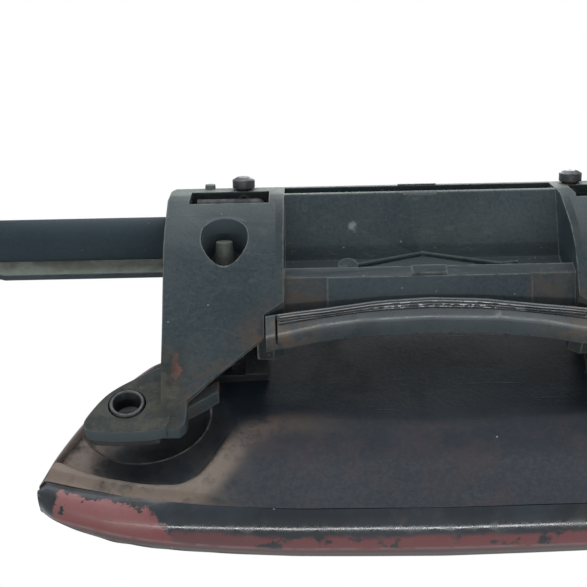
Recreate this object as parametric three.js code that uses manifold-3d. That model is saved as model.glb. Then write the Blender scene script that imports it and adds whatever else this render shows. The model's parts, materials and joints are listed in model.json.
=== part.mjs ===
// Car door handle of the lift-flap type: a carrier behind the door skin, a painted flap and a transfer lever.
// Millimetres. While modelling, x runs along the handle, y inboard and z up, from a point near the hinge;
// at the end everything moves so that the origin is on the upper seat pad.
import * as THREE from 'three';
import { mergeVertices } from 'three/addons/utils/BufferGeometryUtils.js';
import Module from 'manifold-3d';

const wasm = await Module();
wasm.setup();

// Driving dimensions
const SEAT_Y = -19.2; // outer face of the door-skin seat
const SEAT_Z = 38; // height of the seat pad's centre
const GAP = 0.4; // least clearance between pieces
const SIDES = { left: 1, right: -1 };

const BLOCK_IN = 37.5; // inner wall of each block
const BLOCK_OUT = 68.2; // outer wall of each block
const WALL = 2.8;
const HINGE = { y: -13, z: 8, pin: 2.5, boss: 6.4 };
const SHAFT = { y: -1.5, z: 25, r: 3, sleeve: 5.75, start: 42.4, end: 123.6 };
const LUG = { x: 77, z: -24, bore: 3.5, insert: 4.4, top: -14, under: -17.6 };
const FLAP = { half: 98, skin: 2.4, liner: 2.2 };
const GUARD = { half: 42.2, top: 0, under: -9.7 };
const SLOT = { x0: 41.1, x1: 62.4, z0: 25.4, z1: 35.2 };
const CUP = { x: 52.6, z: 11.6, wide: 6.1, tall: 7.4, floor: -0.4 };
const LEAN = { y: 0.883, z: 0.469 }; // direction of the studs and the peg
const CRANK = { x0: 118.8, x1: 122.4, y: 11, z: 37 };

const FINISH = {
  carrier: [0x3c4549, 0.7],
  guard: [0x2d3436, 0.35],
  rubber: [0x1b1d1e, 0.8],
  steel: [0x8d9092, 0.4],
  paint: [0x8c2a33, 0.3],
  liner: [0x24292d, 0.45],
  nylon: [0xcfc4a8, 0.6],
  dark: [0x2b3033, 0.55],
};
const METAL = new Set(['steel']);

const group = new THREE.Group();
group.name = 'car_door_handle';

// Solids

function clean(geometry) {
  const g = geometry.clone();
  g.deleteAttribute('normal');
  g.deleteAttribute('uv');
  return mergeVertices(g, 1e-4);
}

function solid(geometry) {
  const g = clean(geometry);
  const mesh = new wasm.Mesh({
    numProp: 3,
    vertProperties: new Float32Array(g.attributes.position.array),
    triVerts: new Uint32Array(g.index.array),
  });
  mesh.merge();
  return new wasm.Manifold(mesh);
}

function geometryOf(manifold) {
  const mesh = manifold.getMesh();
  const g = new THREE.BufferGeometry();
  g.setAttribute('position', new THREE.BufferAttribute(new Float32Array(mesh.vertProperties), 3));
  g.setIndex(new THREE.BufferAttribute(new Uint32Array(mesh.triVerts), 1));
  return g;
}

function add(name, body, finish) {
  const geometry = body instanceof THREE.BufferGeometry ? clean(body) : geometryOf(body);
  geometry.translate(0, -SEAT_Y, -SEAT_Z);
  geometry.computeVertexNormals();
  const [color, roughness] = FINISH[finish];
  const metalness = METAL.has(finish) ? 0.9 : 0;
  const material = new THREE.MeshStandardMaterial({ color, roughness, metalness });
  material.name = finish;
  const mesh = new THREE.Mesh(geometry, material);
  mesh.name = name;
  group.add(mesh);
}

function extrude(points, depth) {
  const shape = new THREE.Shape(points.map(([a, b]) => new THREE.Vector2(a, b)));
  return new THREE.ExtrudeGeometry(shape, { depth, bevelEnabled: false, curveSegments: 12 });
}

// A profile of [z, y] points swept along x.
function prism(profile, x0, x1) {
  const g = extrude(profile.map(([z, y]) => [y, z]), Math.abs(x1 - x0));
  const m = new THREE.Matrix4().makeBasis(
    new THREE.Vector3(0, 1, 0),
    new THREE.Vector3(0, 0, 1),
    new THREE.Vector3(1, 0, 0),
  );
  g.applyMatrix4(m);
  g.translate(Math.min(x0, x1), 0, 0);
  return solid(g);
}

// An outline of [x, z] points swept along y.
function plate(outline, y0, y1) {
  const g = extrude(outline.map(([x, z]) => [z, x]), Math.abs(y1 - y0));
  const m = new THREE.Matrix4().makeBasis(
    new THREE.Vector3(0, 0, 1),
    new THREE.Vector3(1, 0, 0),
    new THREE.Vector3(0, 1, 0),
  );
  g.applyMatrix4(m);
  g.translate(0, Math.min(y0, y1), 0);
  return solid(g);
}

function box(x0, x1, y0, y1, z0, z1) {
  const g = new THREE.BoxGeometry(Math.abs(x1 - x0), Math.abs(y1 - y0), Math.abs(z1 - z0));
  g.translate((x0 + x1) / 2, (y0 + y1) / 2, (z0 + z1) / 2);
  return solid(g);
}

// A cone or cylinder from point a to point b.
function rod(a, b, ra, rb = ra, sides = 24) {
  const from = new THREE.Vector3(...a);
  const along = new THREE.Vector3(...b).sub(from);
  const g = new THREE.CylinderGeometry(rb, ra, along.length(), sides);
  g.translate(0, along.length() / 2, 0);
  const turn = new THREE.Quaternion();
  turn.setFromUnitVectors(new THREE.Vector3(0, 1, 0), along.clone().normalize());
  g.applyQuaternion(turn);
  g.translate(from.x, from.y, from.z);
  return solid(g);
}

function rodX(x0, x1, y, z, r, sides = 24) {
  return rod([x0, y, z], [x1, y, z], r, r, sides);
}

function ringX(x0, x1, y, z, outer, inner, sides = 24) {
  const e = Math.sign(x1 - x0);
  return rodX(x0, x1, y, z, outer, sides).subtract(rodX(x0 - e, x1 + e, y, z, inner, sides));
}

function mirrorX(manifold) {
  return manifold.mirror([1, 0, 0]);
}

function onSide(side, manifold) {
  return SIDES[side] > 0 ? manifold : mirrorX(manifold);
}

// Twice the signed area of a triangle or ring in the y-z plane.
function turnOf(points) {
  return points.reduce((sum, [, y, z], i) => {
    const [, y2, z2] = points[(i + 1) % points.length];
    return sum + y * z2 - y2 * z;
  }, 0);
}

function capOf(ring, offset, sign) {
  const flat = ring.map(([, y, z]) => new THREE.Vector2(y, z));
  return THREE.ShapeUtils.triangulateShape(flat, []).flatMap((t) => {
    const turned = turnOf(t.map((i) => ring[i])) * sign > 0 ? t : [t[0], t[2], t[1]];
    return turned.map((i) => offset + i);
  });
}

// Cap of a ring whose two halves run side by side, point j facing point n - 1 - j.
function ribbonCap(n, offset, sign) {
  const index = [];
  for (let j = 0; j + 1 < n / 2; j += 1) {
    const [a, b, c, d] = [j, j + 1, n - 2 - j, n - 1 - j].map((i) => offset + i);
    index.push(...(sign > 0 ? [a, b, c, a, c, d] : [a, c, b, a, d, c]));
  }
  return index;
}

function skinIndex(count, n) {
  const index = [];
  for (let i = 0; i + 1 < count; i += 1) {
    for (let j = 0; j < n; j += 1) {
      const a = i * n + j;
      const b = i * n + ((j + 1) % n);
      index.push(a, b, a + n, b, b + n, a + n);
    }
  }
  return index;
}

function indexed(rings, index) {
  const g = new THREE.BufferGeometry();
  g.setAttribute('position', new THREE.BufferAttribute(new Float32Array(rings.flat(2)), 3));
  g.setIndex(index);
  return solid(g);
}

// Closed rings of equal length at rising x, skinned one to the next and capped at both ends.
function sweep(rings, ribbon = false) {
  const facing = turnOf(rings[0]) > 0 ? rings : rings.map((ring) => [...ring].reverse());
  const n = facing[0].length;
  const last = facing.length - 1;
  const cap = (i, sign) => (ribbon ? ribbonCap(n, i * n, sign) : capOf(facing[i], i * n, sign));
  return indexed(facing, [...skinIndex(facing.length, n), ...cap(0, -1), ...cap(last, 1)]);
}

// Straight-line interpolation through [x, value] pairs.
function table(pairs, x) {
  if (x <= pairs[0][0]) {
    return pairs[0][1];
  }
  for (let i = 1; i < pairs.length; i += 1) {
    const [x1, v1] = pairs[i];
    const [x0, v0] = pairs[i - 1];
    if (x <= x1) {
      return v0 + ((v1 - v0) * (x - x0)) / (x1 - x0);
    }
  }
  return pairs.at(-1)[1];
}

function smooth(t) {
  const c = Math.min(1, Math.max(0, t));
  return c * c * (3 - 2 * c);
}

// Carrier

// Outer skin of a block in [z, y]: post, ramp, flat top, rear slope and rear wall.
// An outline with each corner cut back, again and again, into a curve.
function rounded(outline, passes) {
  let points = outline;
  for (let pass = 0; pass < passes; pass += 1) {
    points = points.flatMap(([x, z], i) => {
      const [u, w] = points[(i + 1) % points.length];
      return [[x * 0.75 + u * 0.25, z * 0.75 + w * 0.25], [x * 0.25 + u * 0.75, z * 0.25 + w * 0.75]];
    });
  }
  return points;
}

const BLOCK_SKIN = [
  [-31, SEAT_Y], [-31, -14.5], [-20, -6.6], [-8, -0.8], [8, 8.3], [14, 9.7], [27, 9.7],
  [39.5, 4], [42, SEAT_Y],
];
const BLOCK_CORE = [
  [-34, -30], [-31, -17.8], [-20, -9.9], [-8, -3.9], [7, 4.9], [13.5, 6.9], [26.5, 6.9],
  [36.7, 2.2], [39.3, SEAT_Y], [39.3, -30],
];
// The block in plan, [x, z]; its lower edge runs on the slant down to the post.
const BLOCK_PLAN = [
  [BLOCK_IN - 0.7, 43], [63.2, 43], [65.4, 41.2], [67, 39.6], [67.9, 37.8], [BLOCK_OUT, 36],
  [BLOCK_OUT, -31.5], [65.2, -31.5], [63.6, -30.8], [62.4, -29.4], [62, -27.6], [62, -25],
  [42.6, -11], [42.6, -6.5], [BLOCK_IN, -3.4],
];
const BLOCK_HOLLOW = [
  [BLOCK_IN + WALL, 44], [BLOCK_OUT - WALL, 44], [BLOCK_OUT - WALL, -23.7],
  [63, -22.3], [45.4, -9.4], [45.4, -5], [BLOCK_IN + WALL, -2.1],
];
const SLANT_OPEN = [
  [46, -4.6], [40.6, -5], [40.6, -15], [61, -30], [61, -25.4], [64.8, -22.6],
];
const LUG_PLAN = rounded([
  [65.4, -9.5], [70.4, -12], [73.7, -14.3], [79.7, -18.3], [83.2, -21.8], [86.8, -28.4],
  [87.2, -30.8], [85.6, -32.6], [80.7, -33.1], [74.3, -33.2], [68.9, -32.8], [65.8, -31.3],
], 2);
// Centre pocket between the blocks, [z, y]: rim, rear wall, floor and ledge.
const POCKET = [
  [42, SEAT_Y], [39.5, 4], [38.3, 4.5], [37.9, 0.9], [33.2, 2.9], [32.7, 7], [31.3, 7.6],
  [18.4, -3.9], [17.6, -4.5], [7.6, -4.5], [6.4, 2.9], [2.7, 2.9], [-2.8, -4.6], [-2.8, -7],
  [0.2, -7], [17.2, -6.9], [19.6, -6.2], [29.6, 2.6], [32, 0.6], [36.8, -1.5], [39.3, SEAT_Y],
];

function leftBlock() {
  const shell = prism(BLOCK_SKIN, 30, 75).intersect(plate(BLOCK_PLAN, -30, 20));
  const core = prism(BLOCK_CORE, 30, 75).intersect(plate(BLOCK_HOLLOW, -31, 20));
  // The slanted edge is open under the ramp, but for a foot by the post that bears on the stop pad.
  const foot = box(54.5, 70, SEAT_Y - 1, SEAT_Y + 4.2, -40, 0);
  const window = plate(SLANT_OPEN, SEAT_Y - 1, 20).subtract(foot);
  return shell.subtract(core).subtract(window.intersect(prism(BLOCK_CORE, 30, 75)));
}

function blockCuts() {
  const slot = box(SLOT.x0, SLOT.x1, -1, 20, SLOT.z0, SLOT.z1);
  const pin = rodX(36, 70, HINGE.y, HINGE.z, HINGE.pin + GAP);
  return slot.add(pin);
}

function lugEar() {
  const ear = plate(LUG_PLAN, LUG.under, LUG.top);
  return ear.subtract(rod([LUG.x, -25, LUG.z], [LUG.x, 0, LUG.z], LUG.insert + GAP));
}

// Outline of the cup in the ramp, wide at the top and drawn in below, grown by a margin.
function cupOutline(grow) {
  return Array.from({ length: 28 }, (_, i) => {
    const t = (2 * Math.PI * i) / 28;
    const low = Math.sin(t) < 0 ? 1 - 0.16 * Math.sin(t) ** 2 : 1 + 0.05 * Math.sin(2 * t) ** 2;
    const x = CUP.x + (CUP.wide + grow) * low * Math.cos(t);
    return [x, CUP.z + (CUP.tall + grow) * Math.sin(t)];
  });
}

// The cup's form between two depths, drafted towards its floor.
function cupForm(grow, from, to) {
  const low = plate(cupOutline(grow - 1.2), from, CUP.floor + 0.01);
  return low.add(plate(cupOutline(grow), 5.5, to)).hull();
}

// A closed cup under the hole, joined to the block's outer wall by a web.
function cup() {
  const under = CUP.floor - 1.8;
  const body = cupForm(1.5, under, 12).intersect(prism(BLOCK_SKIN, 30, 75));
  const rib = box(57, BLOCK_OUT - 1, under, 4, 10.4, 12.6);
  return body.add(rib);
}

// A long chamfer along the block's slanted lower edge.
function edgeChamfer() {
  const along = new THREE.Vector3(-19.4, 7.5, 14).normalize();
  const inward = new THREE.Vector3(14, 17, 19.4).normalize();
  const normal = along.clone().cross(inward).normalize();
  if (normal.y < 0) {
    normal.negate();
  }
  const across = normal.clone().cross(along);
  const g = new THREE.BoxGeometry(60, 30, 9);
  g.translate(0, 0, 4.5);
  g.applyMatrix4(new THREE.Matrix4().makeBasis(along, across, normal));
  g.translate(52.3, -8.1, -18);
  return solid(g);
}

function supportArm() {
  const outline = [
    [BLOCK_OUT - 1, 18.3], [114, 18.3], [116.7, 19.2], [117.9, 21.2], [117.9, 26.5],
    [116.7, 29], [114, 30], [BLOCK_OUT - 1, 30],
  ];
  const strip = plate(outline, -10, -8.05);
  const rib = box(BLOCK_OUT - 1, 106, -12.8, -9.8, 22, 24.4);
  const cradle = box(104, 108, -9, -1, 25.5, 31);
  const bore = rodX(100, 111, SHAFT.y, SHAFT.z, SHAFT.sleeve + GAP);
  return strip.add(rib).add(cradle.subtract(bore));
}

function pocket() {
  const bar = prism(POCKET, -BLOCK_IN - 1.2, BLOCK_IN + 1.2);
  const notch = box(-4.35, 4.35, 7.1, 20, 26, 32.6);
  const tab = prism([[38.6, 3], [38.6, 4.75], [39.4, 4.35], [39.6, 3]], -5.3, 5.3);
  const ledgeTab = box(-4.5, 4.5, 1, 3.6, 3, 6);
  const step = prism([[3.1, 2.9], [-2.4, -4.6], [-2.4, -6.4], [-3.2, -6.4], [-3.2, -4.4], [2.3, 3.1]],
    -26.3, 26.3);
  return bar.subtract(notch).add(step).add(tab).add(ledgeTab).add(web());
}

// Shallow triangular web from the ledge to the rear wall's foot, ribbed along its edges.
function web() {
  const outline = [[-27, 4.2], [27, 4.2], [0, 18.8]];
  const rise = prism([[4, -5], [4, 2.1], [19.4, -4.3], [19.4, -5]], -30, 30);
  const top = [0, -3.4, 18.4];
  const pad = rod([20.6, -2, 9], [20.6, 1.5, 9], 2.9, 2.6, 24);
  return plate(outline, -6, 5).intersect(rise).add(pad)
    .add(rod([21, 0.9, 8.6], top, 0.7, 0.7, 12))
    .add(rod([28, 2.4, 4.6], [21, 0.9, 8.6], 0.6, 0.7, 12))
    .add(rod([-19.5, 0.7, 8.8], top, 0.7, 0.7, 12))
    .add(rod([-19.5, 0.7, 8.8], [-23.6, 1.9, 8.2], 0.7, 0.55, 12))
    .add(rod([-20.5, 0.9, 8.2], [-27.4, 2.2, 4.8], 0.6, 0.6, 12));
}

function studAxis(x, z, y, from, to) {
  return [
    [x, y + LEAN.y * from, z + LEAN.z * from],
    [x, y + LEAN.y * to, z + LEAN.z * to],
  ];
}

function carrierFrame() {
  const shell = leftBlock().add(cup()).subtract(cupForm(0, CUP.floor, 20));
  const left = shell.subtract(blockCuts()).subtract(edgeChamfer()).add(lugEar());
  const half = left.add(box(BLOCK_OUT - 9, BLOCK_OUT, SEAT_Y, SEAT_Y + 2.6, 33, 48));
  const flange = box(-BLOCK_OUT, BLOCK_OUT, SEAT_Y, SEAT_Y + 2.6, 33, 48);
  let body = half.add(mirrorX(half)).add(pocket()).add(flange).add(supportArm());
  const pass = rodX(64, 70, SHAFT.y, SHAFT.z, 7);
  body = body.subtract(pass);
  const [a, b] = studAxis(57.6, 39, 3.4, -0.6, 1.9);
  body = body.add(rod(a, b, 1.6, 1.4, 14));
  for (const [x, z, y] of [[48.2, 37.6, 4.2], [-42.6, 37.6, 4.2]]) {
    const [p, q] = studAxis(x, z, y, -1.9, 4);
    body = body.subtract(rod(p, q, 2.2, 2.2, 20));
  }
  return body;
}

function lugGasket() {
  const pad = plate(LUG_PLAN, SEAT_Y, LUG.under - 0.3);
  const wide = rod([LUG.x, -25, LUG.z], [LUG.x, 0, LUG.z], LUG.insert + 1.2);
  const keep = box(BLOCK_OUT + GAP, 95, -25, 0, -40, 0);
  return pad.intersect(keep).subtract(wide);
}

function lugInsert() {
  const y0 = SEAT_Y;
  const tube = rod([LUG.x, y0, LUG.z], [LUG.x, LUG.top + 0.5, LUG.z], LUG.insert);
  const bore = rod([LUG.x, y0 - 1, LUG.z], [LUG.x, 0, LUG.z], LUG.bore);
  return tube.subtract(bore);
}

// A dome-headed stud pressed into the rim slope.
function rimStud(x) {
  const [a, b] = studAxis(x, 37.6, 4.2, -1.5, 1.2);
  const [c, d] = studAxis(x, 37.6, 4.2, 1.15, 3.3);
  const [, e] = studAxis(x, 37.6, 4.2, 0, 4.1);
  return rod(a, b, 1.8, 1.8, 20).add(rod(c, d, 3.1, 3.1, 28)).add(rod(d, e, 3.1, 1.7, 28));
}

// Tapered peg standing in the cup, on a flat foot.
function stopPeg() {
  const y = CUP.floor + 0.35;
  const [a, b] = studAxis(CUP.x + 0.2, 9.6, y - 1, 0, 8.4);
  const peg = rod(a, b, 3.1, 2.15, 24);
  const foot = rod([CUP.x + 0.2, y, 9.6], [CUP.x + 0.2, y + 1, 9.6], 3.3, 3.3, 24);
  return peg.add(foot).intersect(box(40, 65, y, 20, -5, 25));
}

// Finger guard, arched in plan and in height

const GUARD_FRONT = [[0, -6.6], [18, -7.3], [28, -8.7], [36, -10.6], [42.2, -11.9]];
const GUARD_CREST = [[0, -2.4], [13, -3.1], [26.5, -5.2], [36, -6.3], [42.2, -7.3]];

function guardDrop(x) {
  return 0.8 * (x / GUARD.half) ** 2;
}

// Section of the guard: a wall under the ledge that leans back over the ledge's face.
function guardRing(x) {
  const a = Math.abs(x);
  const front = table(GUARD_FRONT, a);
  const crest = table(GUARD_CREST, a);
  const top = GUARD.top - guardDrop(x);
  const under = GUARD.under - 0.5 * guardDrop(x);
  const knee = top - 3.2;
  return [
    [crest + 0.4, top - 0.6], [crest + 0.1, top - 0.1], [crest - 0.5, top],
    [front + 0.8, knee + 0.6], [front + 0.2, knee - 0.1], [front, knee - 0.9],
    [front + 0.2, under + 0.8], [front + 1, under], [front + 2.2, under],
    [front + 2.2, knee - 1.2], [crest + 0.4, top - 1.3],
  ].map(([z, y]) => [x, y, z]);
}

function stations(half, count) {
  return Array.from({ length: count }, (_, i) => -half + (2 * half * i) / (count - 1));
}

function fingerGuard() {
  const bar = sweep(stations(GUARD.half, 25).map(guardRing));
  const groove = box(39.2, 39.8, -8, 2, -16, -7).add(box(-39.8, -39.2, -8, 2, -16, -7));
  return bar.subtract(groove);
}

// Two rubber lips lying on the guard's leaning face.
function gasketRing(x) {
  const a = Math.abs(x);
  const from = [table(GUARD_CREST, a) - 0.5, GUARD.top - guardDrop(x)];
  const to = [table(GUARD_FRONT, a) + 0.8, GUARD.top - guardDrop(x) - 2.6];
  const along = [to[0] - from[0], to[1] - from[1]];
  const size = Math.hypot(...along);
  const off = [along[1] / size, -along[0] / size];
  const at = (t, h) => [from[0] + along[0] * t + off[0] * h, from[1] + along[1] * t + off[1] * h];
  return [
    at(0.1, 0.32), at(0.1, 0.8), at(0.2, 1.2), at(0.3, 0.75), at(0.42, 0.7), at(0.52, 1.15),
    at(0.64, 0.75), at(0.64, 0.32),
  ].map(([z, y]) => [x, y, z]);
}

function guardGasket() {
  return sweep(stations(GUARD.half - 3.4, 21).map(gasketRing));
}

function stopPad() {
  const pad = plate([[56, -20.4], [62.6, -24.9], [63.6, -23.6], [57, -19]], -20.3, -19.5);
  return pad;
}

// Hinge pieces on the carrier

function returnSpring() {
  const turns = 8;
  const perTurn = 12;
  const wire = 0.75;
  const coil = HINGE.pin + GAP + wire + 0.5;
  const path = [];
  path.push([-8.5, HINGE.y + 3.9, HINGE.z + 9]);
  for (let i = 0; i <= turns * perTurn; i += 1) {
    const t = (2 * Math.PI * i) / perTurn;
    const x = -7.6 + (15.2 * i) / (turns * perTurn);
    path.push([x, HINGE.y + coil * Math.cos(t), HINGE.z + coil * Math.sin(t)]);
  }
  path.push([8.5, HINGE.y + 1.5, HINGE.z - 9]);
  return tubeAlong(path, wire, 6);
}

// A round wire along a list of points, with flat ends.
function tubeAlong(path, r, sides) {
  const points = path.map((p) => new THREE.Vector3(...p));
  const rings = points.map((p, i) => {
    const ahead = points[Math.min(i + 1, points.length - 1)];
    const behind = points[Math.max(i - 1, 0)];
    const along = ahead.clone().sub(behind).normalize();
    const side = new THREE.Vector3(1, 0, 0).cross(along).normalize();
    const up = along.clone().cross(side);
    return Array.from({ length: sides }, (_, k) => {
      const t = (2 * Math.PI * k) / sides;
      const q = p.clone().addScaledVector(side, r * Math.cos(t)).addScaledVector(up, r * Math.sin(t));
      return [q.x, q.y, q.z];
    });
  });
  return fan(rings);
}

// Convex rings of any direction, skinned and capped with fans.
function fan(rings) {
  const n = rings[0].length;
  const last = (rings.length - 1) * n;
  const index = skinIndex(rings.length, n);
  for (let j = 1; j + 1 < n; j += 1) {
    index.push(0, j + 1, j, last, last + j, last + j + 1);
  }
  return indexed(rings, index);
}

// Flap

// Plan edges of the flap and its seam, as [distance from the middle, z].
const LIP = [
  [0, -57.6], [36, -57], [57, -55.9], [69, -55], [80, -53.3], [89, -50.2], [95, -47.3], [98, -45.2],
];
const CREST = [
  [0, 16.5], [38, 14.5], [60, 7], [74, -3], [84, -13], [89.8, -21.7], [92.6, -27], [95.8, -33.8],
  [97.7, -40.5], [98, -42.4],
];
const SEAM = [
  [0, -51.8], [34.5, -51.4], [52, -50.2], [60.5, -49.1], [70, -47.7], [77.4, -46], [82.4, -44.4],
  [87.3, -43], [91.8, -41.6], [98, -39.6],
];
// Crown of the ridge that bounds the finger recess and, further out, the lug well.
const RIDGE = [
  [0, -26], [20, -25.3], [34, -24.3], [43, -25], [48, -28], [51.5, -32.5], [54.5, -38],
  [57.5, -42.5], [63, -45.6], [72, -45], [82, -42.4], [88.5, -40], [95, -36.5],
];

function outerFace(x, z) {
  const a = Math.abs(x / FLAP.half);
  const crown = 3.2 * (1 - ((z + 28) / 42) ** 2);
  return -36.6 - Math.max(-2.5, crown) + 8.2 * a ** 2.8;
}

function innerLip(x) {
  return -21 - 2.2 * Math.abs(x / FLAP.half) ** 3;
}

// Thickness and top of the wall along the flap's upper edge, which is low behind the blocks.
function edgeWall(a) {
  const lip = table(LIP, a);
  const span = table(CREST, a) - lip;
  const low = 7.5 * (1 - smooth((a - 52) / 22));
  return { wall: Math.min(2.4, span * 0.22), turn: Math.min(5, span * 0.26), low };
}

// Section of the painted skin: edge wall, outer face, round nose and the lip turned over.
function skinRing(x) {
  const a = Math.min(Math.abs(x), FLAP.half);
  const lip = table(LIP, a);
  const crest = table(CREST, a);
  const inner = innerLip(x);
  const reach = Math.min((inner - outerFace(x, lip + 6)) / 2, (crest - lip) * 0.36);
  const seam = Math.min(Math.max(table(SEAM, a), lip + reach * 0.62), lip + (crest - lip) * 0.66);
  const foot = outerFace(x, lip + reach);
  const t = Math.min(FLAP.skin, (inner - foot) * 0.28);
  const yc = (inner + foot) / 2;
  const ry = (inner - foot) / 2;
  const inset = Math.min(Math.max(reach - t, 0.4), reach);
  const stop = Math.min(1, Math.max(-1, (lip + reach - seam) / reach));
  const sweepTo = Math.PI - Math.asin(stop);
  const { wall, turn, low } = edgeWall(a);
  const top = inner - 0.8 - low;
  const base = outerFace(x, crest - turn);
  const h = top - base;
  const outer = [
    [crest - 0.7 * wall, top], [crest, top - Math.min(1, 0.2 * h)],
    [crest, base + Math.min(4, 0.5 * h)], [crest - 0.3 * turn, base + Math.min(1.4, 0.2 * h)],
  ];
  const bend = wall + 0.3 * (turn - wall);
  const inside = [
    [crest - wall, top], [crest - wall, top - Math.min(1, 0.2 * h)],
    [crest - wall, base + t + Math.min(3, 0.4 * h)], [crest - bend, base + t + 0.1 * h],
  ];
  const steps = 8;
  for (let i = 0; i <= steps; i += 1) {
    const from = crest - turn;
    const z = from + ((lip + reach - from) * i) / steps;
    outer.push([z, outerFace(x, z)]);
    inside.push([z, outerFace(x, z) + t]);
  }
  for (let i = 1; i <= 9; i += 1) {
    const k = (sweepTo * i) / 9;
    outer.push([lip + reach - reach * Math.sin(k), yc - ry * Math.cos(k)]);
    inside.push([lip + reach - inset * Math.sin(k), yc - (ry - t) * Math.cos(k)]);
  }
  return [...outer, ...inside.reverse()].map(([z, y]) => [x, y, z]);
}

function flapStations(half) {
  const list = [];
  for (const a of [98, 97.2, 95.6, 93, 89.5, 85, 80, 74, 67, 60, 54, 48, 40, 28, 14]) {
    list.push((-a * half) / 98);
  }
  return [...list, 0, ...list.map((x) => -x).reverse()];
}

// Distance from (a, z) to the ridge's line, negative on the finger recess's side.
function ridgeDistance(a, z) {
  let best = Infinity;
  let side = 1;
  for (let i = 1; i < RIDGE.length; i += 1) {
    const [a0, z0] = RIDGE[i - 1];
    const [a1, z1] = RIDGE[i];
    const [da, dz] = [a1 - a0, z1 - z0];
    const t = Math.min(1, Math.max(0, ((a - a0) * da + (z - z0) * dz) / (da * da + dz * dz)));
    const d = Math.hypot(a - a0 - t * da, z - z0 - t * dz);
    if (d < best) {
      best = d;
      side = (a - a0) * dz - (z - z0) * da > 0 ? -1 : 1;
    }
  }
  return side * best;
}

// Inner surface of the liner: finger recess, ridge, the fall towards the hinge and the lug wells.
function linerTop(x, z) {
  const a = Math.abs(x);
  const d = ridgeDistance(a, z);
  const crest = -20.4 - 2 * (a / 98) ** 3;
  if (d <= 0) {
    const floor = a < 57 ? 1.7 : 0.7;
    return crest - floor * smooth(-d / 5);
  }
  const fall = table([[-50, 0.4], [-26, 1], [-14, 3.4], [10, 6.6]], z);
  const slope = fall * smooth(d / 9);
  const hollow = 3 * smooth(d / 4.5) * smooth((a - 47) / 8) * smooth((-6 - z) / 12);
  const away = Math.hypot((a - 73) / 15.2, (z + 21) / 15.2);
  const well = 3.4 * (1 - smooth((away - 0.86) / 0.16)) * smooth((a - 54) / 5);
  return crest - Math.max(slope, hollow) - well;
}

function linerRing(x) {
  const a = Math.abs(x);
  const lip = table(LIP, a);
  const crest = table(CREST, a) - edgeWall(a).wall - 0.6;
  const span = table(CREST, a) - lip;
  const low = Math.min(Math.max(table(SEAM, a), lip + 3.5), lip + span * 0.66) + 1;
  const steps = 19;
  const top = [];
  const under = [];
  for (let i = 0; i <= steps; i += 1) {
    const z = low + ((crest - low) * i) / steps;
    const floor = outerFace(x, z) + FLAP.skin + 0.6 + 1.6 * smooth((z - crest + 6) / 5);
    const y = Math.max(linerTop(x, z), floor + 1.2);
    top.push([z, y]);
    const thick = z < low + 2.6 ? 0.9 : FLAP.liner;
    const inside = Math.min(Math.max(y - thick, floor), y - 0.9);
    under.push([z, inside]);
  }
  return [...top, ...under.reverse()].map(([z, y]) => [x, y, z]);
}

function flapSkin() {
  return sweep(flapStations(97.9).map(skinRing), true);
}

function flapLiner() {
  let body = sweep(flapStations(94.5).map(linerRing), true);
  for (const s of [1, -1]) {
    body = body.subtract(rod([s * 53, -40, -2], [s * 53, -10, -2], 2.1, 2.1, 18));
  }
  return body;
}

const ARM = { x0: 42, x1: 48 };

function armFoot(z, lift) {
  return Math.max(linerTop(42, z), linerTop(50, z), linerTop(59, z)) + GAP + lift;
}

function hingeArm() {
  const profile = [
    [-8, armFoot(-8, 0)], [6.5, armFoot(6.5, 0)], [12.5, -19], [14, -14.5], [18, -12.8],
    [18.6, -11.2], [17.4, -10], [15.6, -9.8], [11, -7.4], [5, -7.6], [1.8, -12], [0.2, -19.4],
    [-8, armFoot(-8, 3)],
  ];
  const foot = [
    [-8, armFoot(-8, 0)], [6, armFoot(6, 0)], [6, armFoot(6, 2.6)], [-8, armFoot(-8, 2.6)],
  ];
  const arm = prism(profile, ARM.x0, ARM.x1).add(prism(foot, ARM.x1 - 0.5, 59));
  const bore = rodX(40, 50, HINGE.y, HINGE.z, 4.5);
  const hole = rod([53, -40, -2], [53, -10, -2], 1.9, 1.9, 18);
  return arm.subtract(bore).subtract(hole);
}

function armScrew() {
  const top = armFoot(-2, 2.6) + 0.9;
  const shank = rod([53, top - 7.4, -2], [53, top + 0.5, -2], 1.5, 1.5, 16);
  const head = rod([53, top, -2], [53, top + 2.2, -2], 3.1, 2.6, 24);
  const cross = box(50.9, 55.1, top + 1.2, top + 4, -2.4, -1.6);
  const bar = box(52.6, 53.4, top + 1.2, top + 4, -4.1, 0.1);
  return shank.add(head).subtract(cross).subtract(bar);
}

// Transfer lever

function paddle() {
  const profile = [
    [25, 3], [20, 1], [14.2, -4.6], [13.6, -8.2], [17.6, -8.4], [21, -6.4], [26, -6.1], [28.4, -4],
  ];
  const arm = prism(profile, ARM.x0 + 0.2, ARM.x0 + 3.2);
  const hub = rodX(ARM.x0 + 0.2, 50, SHAFT.y, SHAFT.z, 4.8);
  return arm.add(hub).subtract(rodX(40, 55, SHAFT.y, SHAFT.z, SHAFT.r + 0.32));
}

function counterweight() {
  const hub = rodX(50.5, 56, SHAFT.y, SHAFT.z, 4.8);
  const arm = prism([[24, 2], [31, 5], [33.6, 1.5], [29, -4.5]], 51, 55.5);
  const bar = rodX(44.6, 60.8, 3, 31.6, 2.7);
  const round = solid(new THREE.SphereGeometry(2.7, 20, 12).translate(44.6, 3, 31.6));
  return hub.add(arm).add(bar).add(round).subtract(rodX(40, 65, SHAFT.y, SHAFT.z, SHAFT.r + 0.32));
}

function leverSleeve() {
  return ringX(69.2, 115.9, SHAFT.y, SHAFT.z, SHAFT.sleeve, SHAFT.r + 0.32, 32);
}

function shaftBearing() {
  const bush = ringX(64.6, 68.6, SHAFT.y, SHAFT.z, 6.6, SHAFT.r + 0.35, 28);
  return bush.add(ringX(62.9, 64.9, SHAFT.y, SHAFT.z, 7.9, SHAFT.r + 0.35, 28));
}

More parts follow.
